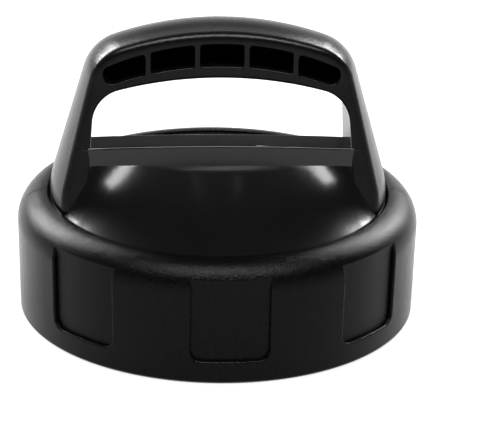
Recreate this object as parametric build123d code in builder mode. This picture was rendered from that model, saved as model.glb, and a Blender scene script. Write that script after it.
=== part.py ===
"""Screw lid of a wide-mouth barrel: a free-turning threaded collar round a lid with an arched handle.

Millimetres. The origin is on the collar's axis, at the level of its open lower edge. +Z points up
out of the handle, the handle spans X, and its hand-hold pockets open towards -Y.
"""

from build123d import *
import math
import os

# Collar
COLLAR_R = 152.4 / 2
COLLAR_FOOT_R = 75.4
COLLAR_H = 46.0
SHOULDER_R = 11.0
LIP_BORE_R = 64.65
LIP_ROUND = 0.5
WEB_UNDERSIDE_Z = 41.8
BODY_BORE_R = 71.4
FOOT_ROUND = 0.8

# Internal thread: plain crest wall with one helical groove cut outwards
THREAD_CREST_R = 69.4
THREAD_BOTTOM_Z = 2.0
THREAD_TOP_Z = 25.0
THREAD_PITCH = 8.0
THREAD_DEPTH = 1.5
THREAD_TURNS = 2.25
GROOVE_MOUTH = 3.4
GROOVE_FLOOR = 1.6
GROOVE_START_Z = 4.6

# Grip pads: shallow recesses that run out into the shoulder
PAD_ANGLES = (-45, 0, 45, 135, 180, 225)
PAD_TURN = 1.4
PAD_WIDTH = 28.8
PAD_DEPTH = 1.6
PAD_BOTTOM_Z = 8.7
PAD_CORNER_R = 4.0
PAD_EDGE_ROUND = 0.7

# Retaining ring and its groove
RING_GROOVE_Z = 36.4
RING_GROOVE_H = 1.6
RING_GROOVE_R = 72.2
RING_R = 72.0
RING_BORE_R = 67.7
RING_THICK = 1.4
RING_GAP = 6.0

# Lid: flange, rim and spigot
FLANGE_R = 69.1
FLANGE_Z = 38.2
FLANGE_TOP_Z = 41.4
RIM_R = 63.85
RIM_TOP_Z = 45.0
SPIGOT_R = 61.0
SPIGOT_BORE_R = 56.5
SPIGOT_Z = 27.0
SPIGOT_LEAD = 1.0
GLAND_Z = 30.0
GLAND_H = 3.2
GLAND_R = 59.05
LID_WALL = 3.0

# Lid: crown that rises from the round rim to the foot of a straight ridge
CROWN_FOOT_R = 63.0
CROWN_CORNER_Y = 22.0
CROWN_LEVELS = ((0.5, 53.3), (1.0, 63.6))
CROWN_BOW = 0.05
CROWN_FOOT_DRAW = 2.3
RIDGE_HALF_X = 52.0
RIDGE_FRONT_Y = -21.0
RIDGE_BACK_Y = -8.0
RIDGE_TOP_Z = 71.3
RIDGE_CROWN = 1.1
RIDGE_EDGE_ROUND = 0.8

# Handle arch
HANDLE_TOP_Z = 114.3
ARCH_TOP_R = 120.0
GRIP_CROWN_R = 50.0
GRIP_CREST_Y = -5.75
ARCH_SHOULDER_ROUND = 18.0
ARCH_UNDER_Z = 96.1
ARCH_UNDER_R = 150.0
ARCH_CORNER_R = 13.0
LEG_FOOT_R = 63.75
LEG_KNEE_Z = 50.8
LEG_KNEE_BLEND_R = 30.0
LEG_SLOPE = 0.287
LEG_SINK = 0.5
LEG_INNER_TOP_X = 47.2
LEG_INNER_FOOT_X = 52.7
GRIP_HALF_DEPTH = 16.5
FOOT_HALF_DEPTH = 25.4
FLARE_START_Z = 95.0
FLARE_BLEND_R = 60.0
HANDLE_EDGE_ROUND = 3.4
HANDLE_UNDER_ROUND = 1.4

# Pockets in the front of the grip
POCKET_TOP_Z = 109.3
POCKET_TOP_R = 104.0
POCKET_FLOOR_Z = 100.8
POCKET_FLOOR_R = 118.0
POCKET_END_TOP_X = 44.9
POCKET_END_LOW_X = 41.9
POCKET_BACK_Y = 13.5
DIVIDER_X = (9.1, 27.2)
DIVIDER_W = 2.0
POCKET_CORNER_R = 1.2
POCKET_END_R = 3.2
POCKET_MOUTH_ROUND = 0.5

# Seals
GASKET_BORE_R = 61.3
GASKET_R = 67.2
GASKET_H = 2.5
O_RING_CORD = 3.0

os.makedirs("parts", exist_ok=True)


def arc_height(centre_z, radius, x):
    """Height at x of an arc whose centre lies on the Z axis at centre_z."""
    return centre_z + math.sqrt(radius**2 - x**2)


def blend(a, b, share):
    """Point that lies the given share of the way from a to b."""
    return tuple(p + (q - p) * share for p, q in zip(a, b))


# Threaded collar ---------------------------------------------------------------------------------

shoulder_centre_r = COLLAR_R - SHOULDER_R
wall_top_z = COLLAR_H - SHOULDER_R
lead_in = BODY_BORE_R - THREAD_CREST_R
groove_top_z = RING_GROOVE_Z + RING_GROOVE_H


def skin_r(z):
    """Outside radius of the collar's slightly flared wall at height z."""
    return COLLAR_FOOT_R + (COLLAR_R - COLLAR_FOOT_R) * (z - FOOT_ROUND) / (wall_top_z - FOOT_ROUND)


def on_skin(edge):
    """True for an edge whose ends both lie on the outside wall, above its foot and below the shoulder."""
    ends = [abs(math.hypot(p.X, p.Y) - skin_r(p.Z)) < 0.01 for p in edge.vertices()]
    return all(ends) and FOOT_ROUND + 0.1 < edge.center().Z < wall_top_z - 0.1


# Cutter for the pads: prisms with round lower corners, hollowed to the radius of the pads' floors
with BuildPart() as pad_cutter:
    for pad_angle in PAD_ANGLES:
        angle = math.radians(pad_angle + PAD_TURN)
        outward = (math.sin(angle), -math.cos(angle), 0)
        sideways = (math.cos(angle), math.sin(angle), 0)
        with BuildSketch(Plane(origin=(0, 0, 0), x_dir=sideways, z_dir=outward)):
            with Locations((0, PAD_BOTTOM_Z)):
                Rectangle(PAD_WIDTH, 2 * COLLAR_H, align=(Align.CENTER, Align.MIN))
            fillet(vertices().group_by(Axis.Y)[0], radius=PAD_CORNER_R)
        extrude(amount=COLLAR_R + SHOULDER_R)
    Cone(
        skin_r(0) - PAD_DEPTH,
        skin_r(COLLAR_H) - PAD_DEPTH,
        COLLAR_H,
        align=(Align.CENTER, Align.CENTER, Align.MIN),
        mode=Mode.SUBTRACT,
    )

# Cutter for the thread: a tapered profile swept along a helix on the crest wall
with BuildPart() as groove_cutter:
    with BuildLine():
        path = Helix(
            THREAD_PITCH,
            THREAD_PITCH * THREAD_TURNS,
            THREAD_CREST_R,
            center=(0, 0, GROOVE_START_Z),
        )
    with BuildSketch(Plane(origin=path @ 0, x_dir=(1, 0, 0), z_dir=path % 0)):
        with BuildLine():
            Polyline(
                (-0.4, -GROOVE_MOUTH / 2),
                (THREAD_DEPTH, -GROOVE_FLOOR / 2),
                (THREAD_DEPTH, GROOVE_FLOOR / 2),
                (-0.4, GROOVE_MOUTH / 2),
                close=True,
            )
        make_face()
    sweep(path=path, is_frenet=True)

with BuildPart() as threaded_collar:
    with BuildSketch(Plane.XZ):
        with BuildLine():
            Line((BODY_BORE_R, 0), (COLLAR_FOOT_R - FOOT_ROUND, 0))
            Line((COLLAR_FOOT_R - FOOT_ROUND, 0), (COLLAR_FOOT_R, FOOT_ROUND))
            Line((COLLAR_FOOT_R, FOOT_ROUND), (COLLAR_R, wall_top_z))
            CenterArc((shoulder_centre_r, wall_top_z), SHOULDER_R, 0, 90)
            Polyline(
                (shoulder_centre_r, COLLAR_H),
                (LIP_BORE_R + LIP_ROUND, COLLAR_H),
                (LIP_BORE_R, COLLAR_H - LIP_ROUND),
                (LIP_BORE_R, WEB_UNDERSIDE_Z),
                (BODY_BORE_R, WEB_UNDERSIDE_Z),
                (BODY_BORE_R, groove_top_z),
                (RING_GROOVE_R, groove_top_z),
                (RING_GROOVE_R, RING_GROOVE_Z),
                (BODY_BORE_R, RING_GROOVE_Z),
                (BODY_BORE_R, THREAD_TOP_Z + lead_in),
                (THREAD_CREST_R, THREAD_TOP_Z),
                (THREAD_CREST_R, THREAD_BOTTOM_Z),
                (BODY_BORE_R, 0),
            )
        make_face()
    revolve(axis=Axis.Z)
    add(pad_cutter.part, mode=Mode.SUBTRACT)
    fillet(edges().filter_by(on_skin), radius=PAD_EDGE_ROUND)
    add(groove_cutter.part, mode=Mode.SUBTRACT)

threaded_collar.part.label = "threaded_collar"
export_step(threaded_collar.part, "parts/threaded_collar.step")


# Lid ---------------------------------------------------------------------------------------------

ridge_mid_y = (RIDGE_FRONT_Y + RIDGE_BACK_Y) / 2
ridge_half_y = (RIDGE_BACK_Y - RIDGE_FRONT_Y) / 2
ridge_root_z = CROWN_LEVELS[0][1]


def crown_level(x, half_y, front_y, side_x, back_y, mid_y, z):
    """One level of the crown: four arcs that bow out from the corners to each side's reach."""
    with BuildSketch(Plane.XY.offset(z)) as level:
        with BuildLine():
            ThreePointArc((-x, mid_y - half_y), (0, front_y), (x, mid_y - half_y))
            ThreePointArc((x, mid_y - half_y), (side_x, mid_y), (x, mid_y + half_y))
            ThreePointArc((x, mid_y + half_y), (0, back_y), (-x, mid_y + half_y))
            ThreePointArc((-x, mid_y + half_y), (-side_x, mid_y), (-x, mid_y - half_y))
        make_face()
    return level.sketch.faces()[0]


def crown(inset):
    """Body between the round rim and the ridge's foot, drawn in by inset on every side."""
    foot_r = CROWN_FOOT_R - inset * CROWN_FOOT_DRAW
    top_x = RIDGE_HALF_X - inset
    half_y = ridge_half_y - inset - 2 * CROWN_BOW
    foot = (
        math.sqrt(foot_r**2 - CROWN_CORNER_Y**2),
        CROWN_CORNER_Y,
        -foot_r,
        foot_r - CROWN_BOW,
        foot_r,
        0,
    )
    top = (
        top_x,
        half_y,
        ridge_mid_y - half_y - CROWN_BOW,
        top_x + CROWN_BOW,
        ridge_mid_y + half_y + CROWN_BOW,
        ridge_mid_y,
    )
    levels = [crown_level(*foot, RIM_TOP_Z - inset)]
    for share, z in CROWN_LEVELS:
        levels.append(crown_level(*blend(foot, top, share), z - inset))
    with BuildPart() as body:
        loft(levels)
    return body.part


top_centre_z = HANDLE_TOP_Z - ARCH_TOP_R
crown_centre_z = HANDLE_TOP_Z - GRIP_CROWN_R
crest_front_z = arc_height(crown_centre_z, GRIP_CROWN_R, -FOOT_HALF_DEPTH - GRIP_CREST_Y)
crest_back_z = arc_height(crown_centre_z, GRIP_CROWN_R, FOOT_HALF_DEPTH - GRIP_CREST_Y)
under_centre_z = ARCH_UNDER_Z - ARCH_UNDER_R
under_end_z = arc_height(under_centre_z, ARCH_UNDER_R, LEG_INNER_TOP_X)

leg_top_z = HANDLE_TOP_Z + SHOULDER_R
leg_foot_z = RIM_TOP_Z - LEG_SINK
leg_top_r = LEG_FOOT_R - LEG_SLOPE * (leg_top_z - LEG_KNEE_Z)


def on_outline(edge):
    """True for an edge of the arch's outer outline, on its front or back face and above the feet."""
    x, y, z = edge.center()
    on_face = abs(y) > POCKET_BACK_Y and z > leg_foot_z + LEG_SINK
    return on_face and (abs(x) > LEG_INNER_FOOT_X or z > POCKET_FLOOR_Z)


def on_opening(edge):
    """True for an edge round the opening between the legs, on the arch's front or back face."""
    x, y, z = edge.center()
    on_face = abs(y) > POCKET_BACK_Y and z > leg_foot_z + LEG_SINK
    reach = POCKET_END_LOW_X if z > under_end_z else LEG_INNER_TOP_X + HANDLE_EDGE_ROUND
    return on_face and abs(x) < reach and z < ARCH_UNDER_Z + HANDLE_UNDER_ROUND


# The arch fills a cone with an upright foot, between the flared front and back faces, under the top arc
with BuildPart() as arch:
    with BuildSketch(Plane.XZ):
        Polygon(
            (0, leg_foot_z),
            (LEG_FOOT_R, leg_foot_z),
            (LEG_FOOT_R, LEG_KNEE_Z),
            (leg_top_r, leg_top_z),
            (0, leg_top_z),
            align=None,
        )
        fillet(vertices().filter_by(lambda v: abs(v.Y - LEG_KNEE_Z) < 1), radius=LEG_KNEE_BLEND_R)
    revolve(axis=Axis.Z)
    with BuildSketch(Plane.YZ):
        Polygon(
            (-FOOT_HALF_DEPTH, leg_foot_z),
            (FOOT_HALF_DEPTH, leg_foot_z),
            (GRIP_HALF_DEPTH, FLARE_START_Z),
            (GRIP_HALF_DEPTH, leg_top_z),
            (-GRIP_HALF_DEPTH, leg_top_z),
            (-GRIP_HALF_DEPTH, FLARE_START_Z),
            align=None,
        )
        fillet(vertices().filter_by(lambda v: abs(v.Y - FLARE_START_Z) < 1), radius=FLARE_BLEND_R)
    extrude(amount=COLLAR_R, both=True, mode=Mode.INTERSECT)
    with BuildSketch(Plane.YZ):
        with BuildLine():
            crest_line = ThreePointArc(
                (-FOOT_HALF_DEPTH, crest_front_z),
                (GRIP_CREST_Y, HANDLE_TOP_Z),
                (FOOT_HALF_DEPTH, crest_back_z),
            )
            Polyline(
                crest_line @ 1,
                (FOOT_HALF_DEPTH, top_centre_z),
                (-FOOT_HALF_DEPTH, top_centre_z),
                crest_line @ 0,
            )
        make_face()
    revolve(axis=Axis((0, 0, top_centre_z), (0, 1, 0)), mode=Mode.INTERSECT)
    crest = faces().sort_by(Axis.Z)[-1]
    fillet([crest.edges().sort_by(Axis.X)[0], crest.edges().sort_by(Axis.X)[-1]], ARCH_SHOULDER_ROUND)
    with BuildSketch(Plane.XZ):
        with BuildLine():
            under = ThreePointArc(
                (-LEG_INNER_TOP_X, under_end_z),
                (0, ARCH_UNDER_Z),
                (LEG_INNER_TOP_X, under_end_z),
            )
            Polyline(
                under @ 1,
                (LEG_INNER_FOOT_X, 0),
                (-LEG_INNER_FOOT_X, 0),
                under @ 0,
            )
        make_face()
        fillet(vertices().group_by(Axis.Y)[-1], radius=ARCH_CORNER_R)
    extrude(amount=COLLAR_R, both=True, mode=Mode.SUBTRACT)

    fillet(edges().filter_by(on_outline), HANDLE_EDGE_ROUND)
    fillet(edges().filter_by(on_opening), HANDLE_UNDER_ROUND)

# Five pockets between two arcs, parted by upright walls
with BuildPart() as pockets:
    with BuildSketch(Plane.XZ.offset(-POCKET_BACK_Y)):
        with BuildLine():
            roof_z = arc_height(POCKET_TOP_Z - POCKET_TOP_R, POCKET_TOP_R, POCKET_END_TOP_X)
            floor_z = arc_height(POCKET_FLOOR_Z - POCKET_FLOOR_R, POCKET_FLOOR_R, POCKET_END_LOW_X)
            roof = ThreePointArc(
                (-POCKET_END_TOP_X, roof_z),
                (0, POCKET_TOP_Z),
                (POCKET_END_TOP_X, roof_z),
            )
            Line(roof @ 1, (POCKET_END_LOW_X, floor_z))
            floor = ThreePointArc(
                (POCKET_END_LOW_X, floor_z),
                (0, POCKET_FLOOR_Z),
                (-POCKET_END_LOW_X, floor_z),
            )
            Line(floor @ 1, roof @ 0)
        make_face()
        for x in DIVIDER_X:
            with Locations((-x, HANDLE_TOP_Z), (x, HANDLE_TOP_Z)):
                Rectangle(DIVIDER_W, HANDLE_TOP_Z, mode=Mode.SUBTRACT)
        ends = vertices().filter_by(lambda v: abs(v.X) > POCKET_END_LOW_X - 1)
        fillet(ends, radius=POCKET_END_R)
        inner = vertices().filter_by(lambda v: abs(v.X) < DIVIDER_X[1] + DIVIDER_W)
        fillet(inner, radius=POCKET_CORNER_R)
    extrude(amount=COLLAR_R)


def at_mouth(edge):
    """True for an edge where a pocket opens into the front of the grip."""
    x, y, z = edge.center()
    low_z = arc_height(POCKET_FLOOR_Z - POCKET_FLOOR_R, POCKET_FLOOR_R, x) - POCKET_MOUTH_ROUND
    high_z = arc_height(POCKET_TOP_Z - POCKET_TOP_R, POCKET_TOP_R, x) + POCKET_MOUTH_ROUND / 2
    in_front = abs(y + GRIP_HALF_DEPTH) < POCKET_MOUTH_ROUND / 2
    return in_front and abs(x) < POCKET_END_TOP_X and low_z < z < high_z


# Crown, rim, ridge, flange and spigot before hollowing
with BuildPart() as crown_blank:
    with BuildSketch(Plane.XZ):
        Polygon(
            (0, RIM_TOP_Z - LID_WALL),
            (SPIGOT_BORE_R, RIM_TOP_Z - LID_WALL),
            (SPIGOT_BORE_R, SPIGOT_Z),
            (SPIGOT_R - SPIGOT_LEAD, SPIGOT_Z),
            (SPIGOT_R, SPIGOT_Z + SPIGOT_LEAD),
            (SPIGOT_R, GLAND_Z),
            (GLAND_R, GLAND_Z),
            (GLAND_R, GLAND_Z + GLAND_H),
            (SPIGOT_R, GLAND_Z + GLAND_H),
            (SPIGOT_R, FLANGE_Z),
            (FLANGE_R, FLANGE_Z),
            (FLANGE_R, FLANGE_TOP_Z),
            (RIM_R, FLANGE_TOP_Z),
            (RIM_R, RIM_TOP_Z),
            (0, RIM_TOP_Z),
            align=None,
        )
    revolve(axis=Axis.Z)
    add(crown(0))
    with BuildSketch(Plane.XZ.offset(-RIDGE_BACK_Y)):
        with BuildLine():
            ridge_top = ThreePointArc(
                (-RIDGE_HALF_X, RIDGE_TOP_Z - RIDGE_CROWN),
                (0, RIDGE_TOP_Z),
                (RIDGE_HALF_X, RIDGE_TOP_Z - RIDGE_CROWN),
            )
            Polyline(
                ridge_top @ 1,
                (RIDGE_HALF_X, ridge_root_z),
                (-RIDGE_HALF_X, ridge_root_z),
                ridge_top @ 0,
            )
        make_face()
    extrude(amount=RIDGE_BACK_Y - RIDGE_FRONT_Y)
    fillet(faces().sort_by(Axis.Z)[-1].edges().filter_by(GeomType.CIRCLE), radius=RIDGE_EDGE_ROUND)

with BuildPart() as carry_handle:
    add(arch.part)
    add(pockets.part, mode=Mode.SUBTRACT)
    fillet(edges().filter_by(at_mouth), radius=POCKET_MOUTH_ROUND)
    add(crown_blank.part, mode=Mode.SUBTRACT)

carry_handle.part.label = "carry_handle"
export_step(carry_handle.part, "parts/carry_handle.step")

with BuildPart() as lid_crown:
    add(crown_blank.part)
    add(crown(LID_WALL), mode=Mode.SUBTRACT)
    with Locations((0, ridge_mid_y, ridge_root_z)):
        Box(
            2 * (RIDGE_HALF_X - 2 * LID_WALL),
            2 * (ridge_half_y - LID_WALL),
            RIDGE_TOP_Z - RIDGE_CROWN - LID_WALL - ridge_root_z,
            align=(Align.CENTER, Align.CENTER, Align.MIN),
            mode=Mode.SUBTRACT,
        )

lid_crown.part.label = "lid_crown"
export_step(lid_crown.part, "parts/lid_crown.step")

# Rings -------------------------------------------------------------------------------------------

with BuildPart() as retaining_ring:
    with BuildSketch(Plane.XY.offset(RING_GROOVE_Z)):
        Circle(RING_R)
        Circle(RING_BORE_R, mode=Mode.SUBTRACT)
        with Locations((0, RING_R)):
            Rectangle(RING_GAP, RING_R, mode=Mode.SUBTRACT)
        tips = vertices().filter_by(lambda v: abs(v.X) < RING_GAP and v.Y > 0)
        fillet(tips, radius=RING_THICK / 2)
    extrude(amount=RING_THICK)

retaining_ring.part.label = "retaining_ring"
export_step(retaining_ring.part, "parts/retaining_ring.step")

with BuildPart() as neck_gasket:
    with BuildSketch(Plane.XY.offset(FLANGE_Z - GASKET_H)):
        Circle(GASKET_R)
        Circle(GASKET_BORE_R, mode=Mode.SUBTRACT)
    extrude(amount=GASKET_H)

neck_gasket.part.label = "neck_gasket"
export_step(neck_gasket.part, "parts/neck_gasket.step")

with BuildPart() as spigot_o_ring:
    with Locations((0, 0, GLAND_Z + GLAND_H / 2)):
        Torus(GLAND_R + O_RING_CORD / 2, O_RING_CORD / 2)

spigot_o_ring.part.label = "spigot_o_ring"
export_step(spigot_o_ring.part, "parts/spigot_o_ring.step")
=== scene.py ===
import math

import bpy
from mathutils import Matrix, Vector

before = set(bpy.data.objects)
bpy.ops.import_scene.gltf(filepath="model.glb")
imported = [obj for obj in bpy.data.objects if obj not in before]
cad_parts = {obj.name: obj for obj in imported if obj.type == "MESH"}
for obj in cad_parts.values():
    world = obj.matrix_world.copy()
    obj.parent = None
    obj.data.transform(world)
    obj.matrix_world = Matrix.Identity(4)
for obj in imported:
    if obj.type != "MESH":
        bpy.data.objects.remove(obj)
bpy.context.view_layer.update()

MM = 0.001

# ---------------------------------------------------------------- materials

# Noise that varies the gloss (cloud), the colour (speck) and the surface (grain)
CLOUD_SCALE = 35.0
CLOUD_DETAIL = 4.0
CLOUD_RANGE = (0.3, 0.7)
SPECK_SCALE = 900.0
SPECK_DETAIL = 2.0
SPECK_RANGE = (0.35, 0.7)
GRAIN_DETAIL = 3.0
GRAIN_ROUGHNESS = 0.6

SEAM_HALF_WIDTH = 0.15 * MM
SEAM_DEPTH = 0.3 * MM
SEAM_ROUGHNESS = 0.85


def nodes_of(name):
    """A new material, its node tree and the tree's Principled shader."""
    material = bpy.data.materials.new(name)
    material.use_nodes = True
    tree = material.node_tree
    return material, tree, tree.nodes["Principled BSDF"]


def noise(tree, coords, scale, detail, roughness=0.5):
    """Noise over the given coordinates, from 0 to 1."""
    made = tree.nodes.new("ShaderNodeTexNoise")
    made.inputs["Scale"].default_value = scale
    made.inputs["Detail"].default_value = detail
    made.inputs["Roughness"].default_value = roughness
    tree.links.new(coords, made.inputs["Vector"])
    return made.outputs["Fac"]


def remap(tree, value, span, new_span):
    """The value carried from one span to another, and held at the new span's ends."""
    made = tree.nodes.new("ShaderNodeMapRange")
    made.inputs["From Min"].default_value, made.inputs["From Max"].default_value = span
    made.inputs["To Min"].default_value, made.inputs["To Max"].default_value = new_span
    tree.links.new(value, made.inputs["Value"])
    return made.outputs["Result"]


def colour_between(tree, share, dark, light):
    """The colour that lies the given share of the way from dark to light."""
    made = tree.nodes.new("ShaderNodeMix")
    made.data_type = "RGBA"
    made.inputs["A"].default_value = (*dark, 1)
    made.inputs["B"].default_value = (*light, 1)
    tree.links.new(share, made.inputs["Factor"])
    return made.outputs["Result"]


def add_seam(tree, coords, shader):
    """A fine dull parting line where the mould's halves met, in the plane through both handle legs."""
    split = tree.nodes.new("ShaderNodeSeparateXYZ")
    tree.links.new(coords, split.inputs["Vector"])
    offset = tree.nodes.new("ShaderNodeMath")
    offset.operation = "ABSOLUTE"
    tree.links.new(split.outputs["Y"], offset.inputs[0])
    height = remap(tree, offset.outputs["Value"], (SEAM_HALF_WIDTH, 2 * SEAM_HALF_WIDTH), (0.0, 1.0))
    dull = tree.nodes.new("ShaderNodeMix")
    dull.inputs["A"].default_value = SEAM_ROUGHNESS
    tree.links.new(height, dull.inputs["Factor"])
    tree.links.new(shader.inputs["Roughness"].links[0].from_socket, dull.inputs["B"])
    tree.links.new(dull.outputs["Result"], shader.inputs["Roughness"])
    bump = tree.nodes.new("ShaderNodeBump")
    bump.inputs["Distance"].default_value = SEAM_DEPTH
    tree.links.new(height, bump.inputs["Height"])
    tree.links.new(shader.inputs["Normal"].links[0].from_socket, bump.inputs["Normal"])
    tree.links.new(bump.outputs["Normal"], shader.inputs["Normal"])


def plastic(name, dark, light, rough, grain_scale, grain_depth, specular, seam=False):
    """Moulded plastic: speckled colour, uneven gloss and fine moulded grain."""
    material, tree, shader = nodes_of(name)
    coords = tree.nodes.new("ShaderNodeTexCoord").outputs["Object"]
    cloud = noise(tree, coords, CLOUD_SCALE, CLOUD_DETAIL)
    speck = noise(tree, coords, SPECK_SCALE, SPECK_DETAIL)
    colour = colour_between(tree, remap(tree, speck, SPECK_RANGE, (0.0, 1.0)), dark, light)
    tree.links.new(colour, shader.inputs["Base Color"])
    tree.links.new(remap(tree, cloud, CLOUD_RANGE, rough), shader.inputs["Roughness"])
    shader.inputs["Specular IOR Level"].default_value = specular
    grain = noise(tree, coords, grain_scale, GRAIN_DETAIL, GRAIN_ROUGHNESS)
    bump = tree.nodes.new("ShaderNodeBump")
    bump.inputs["Strength"].default_value = 1.0
    bump.inputs["Distance"].default_value = grain_depth
    tree.links.new(grain, bump.inputs["Height"])
    tree.links.new(bump.outputs["Normal"], shader.inputs["Normal"])
    if seam:
        add_seam(tree, coords, shader)
    return material


BLACK = (0.0010, 0.0010, 0.0011)
SATIN_SPECK = (0.0026, 0.0026, 0.0028)
GLOSS_SPECK = (0.0018, 0.0018, 0.0020)

collar_black = plastic(
    "collar_black", BLACK, SATIN_SPECK, (0.17, 0.22), 1500.0, 0.2 * MM, 0.075, seam=True
)
handle_black = plastic("handle_black", BLACK, SATIN_SPECK, (0.22, 0.28), 1100.0, 0.06 * MM, 0.14)
gloss = plastic("gloss_black", BLACK, GLOSS_SPECK, (0.16, 0.21), 300.0, 0.004 * MM, 0.38)
natural = plastic(
    "natural_plastic", (0.46, 0.45, 0.42), (0.56, 0.55, 0.52), (0.4, 0.55), 900.0, 0.03 * MM, 0.4
)
rubber = plastic(
    "rubber", (0.010, 0.010, 0.010), (0.022, 0.022, 0.021), (0.6, 0.8), 700.0, 0.06 * MM, 0.35
)


def paint(name, material):
    """Gives one CAD piece its material."""
    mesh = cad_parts[name].data
    mesh.materials.clear()
    mesh.materials.append(material)


paint("threaded_collar", collar_black)
paint("carry_handle", handle_black)
paint("lid_crown", gloss)
paint("retaining_ring", natural)
paint("neck_gasket", rubber)
paint("spigot_o_ring", rubber)

# ---------------------------------------------------------------- stage

FLOOR_R = 4.0
FLOOR_SIDES = 96
FLOOR_DARK = (0.24, 0.24, 0.24)
FLOOR_LIGHT = (0.28, 0.28, 0.28)
FLOOR_CLOUD_SCALE = 6.0
FLOOR_CLOUD_DETAIL = 3.0
FLOOR_ROUGHNESS = 0.9
FLOOR_SPECULAR = 0.1
FLOOR_GLOW = 0.66


def pale_floor():
    """A wide flat disc of matt card that glows evenly, so that it shows pale with a soft shadow."""
    mesh = bpy.data.meshes.new("floor")
    turns = [math.tau * i / FLOOR_SIDES for i in range(FLOOR_SIDES)]
    ring = [(FLOOR_R * math.cos(turn), FLOOR_R * math.sin(turn), 0) for turn in turns]
    mesh.from_pydata(ring, [], [tuple(range(FLOOR_SIDES))])
    obj = bpy.data.objects.new("floor", mesh)
    bpy.context.scene.collection.objects.link(obj)
    material, tree, shader = nodes_of("pale_card")
    coords = tree.nodes.new("ShaderNodeTexCoord").outputs["Object"]
    cloud = noise(tree, coords, FLOOR_CLOUD_SCALE, FLOOR_CLOUD_DETAIL)
    tree.links.new(colour_between(tree, cloud, FLOOR_DARK, FLOOR_LIGHT), shader.inputs["Base Color"])
    shader.inputs["Roughness"].default_value = FLOOR_ROUGHNESS
    shader.inputs["Specular IOR Level"].default_value = FLOOR_SPECULAR
    shader.inputs["Emission Color"].default_value = (1, 1, 1, 1)
    shader.inputs["Emission Strength"].default_value = FLOOR_GLOW
    mesh.materials.append(material)
    return obj


pale_floor()

LIGHT_AIM = (0, 0, 60 * MM)


def area_light(name, at, size, power):
    """A soft rectangular light that faces the middle of the lid, with its power in watts."""
    light = bpy.data.lights.new(name, "AREA")
    light.shape = "RECTANGLE"
    light.size, light.size_y = size
    light.energy = power
    obj = bpy.data.objects.new(name, light)
    obj.location = at
    obj.rotation_euler = (Vector(LIGHT_AIM) - Vector(at)).to_track_quat("-Z", "Y").to_euler()
    bpy.context.scene.collection.objects.link(obj)


area_light("left_box", (-0.85, 0.75, 0.55), (0.38, 0.32), 15.0)
area_light("right_box", (0.85, 0.75, 0.55), (0.38, 0.32), 13.0)
area_light("left_back_box", (-0.72, 0.92, 0.80), (0.60, 0.40), 22.0)
area_light("right_back_box", (0.72, 0.92, 0.80), (0.60, 0.40), 19.0)
area_light("back_box", (0.0, 0.95, 0.85), (1.4, 0.3), 2.4)
area_light("top_box", (0.0, -0.42, 1.12), (1.1, 0.30), 20.0)

# The surroundings are bright at the horizon and dim to a ceiling, over a span of the direction's Z
HORIZON = (1.0, 1.0, 1.0)
CEILING = (0.10, 0.10, 0.105)
DIMMING_SPAN = (0.06, 0.32)

world = bpy.data.worlds.new("studio")
bpy.context.scene.world = world
world.use_nodes = True
tree = world.node_tree
split = tree.nodes.new("ShaderNodeSeparateXYZ")
tree.links.new(tree.nodes.new("ShaderNodeTexCoord").outputs["Generated"], split.inputs["Vector"])
level = remap(tree, split.outputs["Z"], DIMMING_SPAN, (1.0, 0.0))
backdrop = tree.nodes["Background"]
tree.links.new(colour_between(tree, level, CEILING, HORIZON), backdrop.inputs["Color"])
backdrop.inputs["Strength"].default_value = 1.0

# ---------------------------------------------------------------- camera

IMAGE_W, IMAGE_H = 500, 436
SENSOR_MM = 36.0
FOCAL_PX = 2636.0
TARGET = Vector((0, 0, 60 * MM))
TARGET_PX = (218.6, 154.3)
DISTANCE = 1.0
ELEVATION = math.radians(21.03)
TURN = math.radians(2.7)
ROLL = math.radians(0.98)
CLIP_START = 0.05
CLIP_END = 20.0

level_reach = math.cos(ELEVATION)
forward = Vector((math.sin(TURN) * level_reach, math.cos(TURN) * level_reach, -math.sin(ELEVATION)))
right = Vector((math.cos(TURN), -math.sin(TURN), 0))
up = right.cross(forward)
place = TARGET - DISTANCE * forward


def ray(u, v):
    """Direction through image point (u, v)."""
    x, y = u - TARGET_PX[0], v - TARGET_PX[1]
    a = math.cos(ROLL) * x + math.sin(ROLL) * y
    b = -math.sin(ROLL) * x + math.cos(ROLL) * y
    return (forward + right * (a / FOCAL_PX) - up * (b / FOCAL_PX)).normalized()


# The camera looks through the middle of the image, so it needs no lens shift
look = ray(IMAGE_W / 2, IMAGE_H / 2)
side = ray(IMAGE_W / 2 + 1, IMAGE_H / 2) - ray(IMAGE_W / 2 - 1, IMAGE_H / 2)
side = (side - look * side.dot(look)).normalized()
rise = side.cross(look)
camera_data = bpy.data.cameras.new("camera")
camera_data.sensor_width = SENSOR_MM
camera_data.lens = FOCAL_PX * SENSOR_MM / IMAGE_W
camera_data.clip_start = CLIP_START
camera_data.clip_end = CLIP_END
camera = bpy.data.objects.new("camera", camera_data)
bpy.context.scene.collection.objects.link(camera)
camera.matrix_world = Matrix.Translation(place) @ Matrix((side, rise, -look)).transposed().to_4x4()
bpy.context.scene.camera = camera
bpy.context.scene.view_settings.view_transform = "Standard"
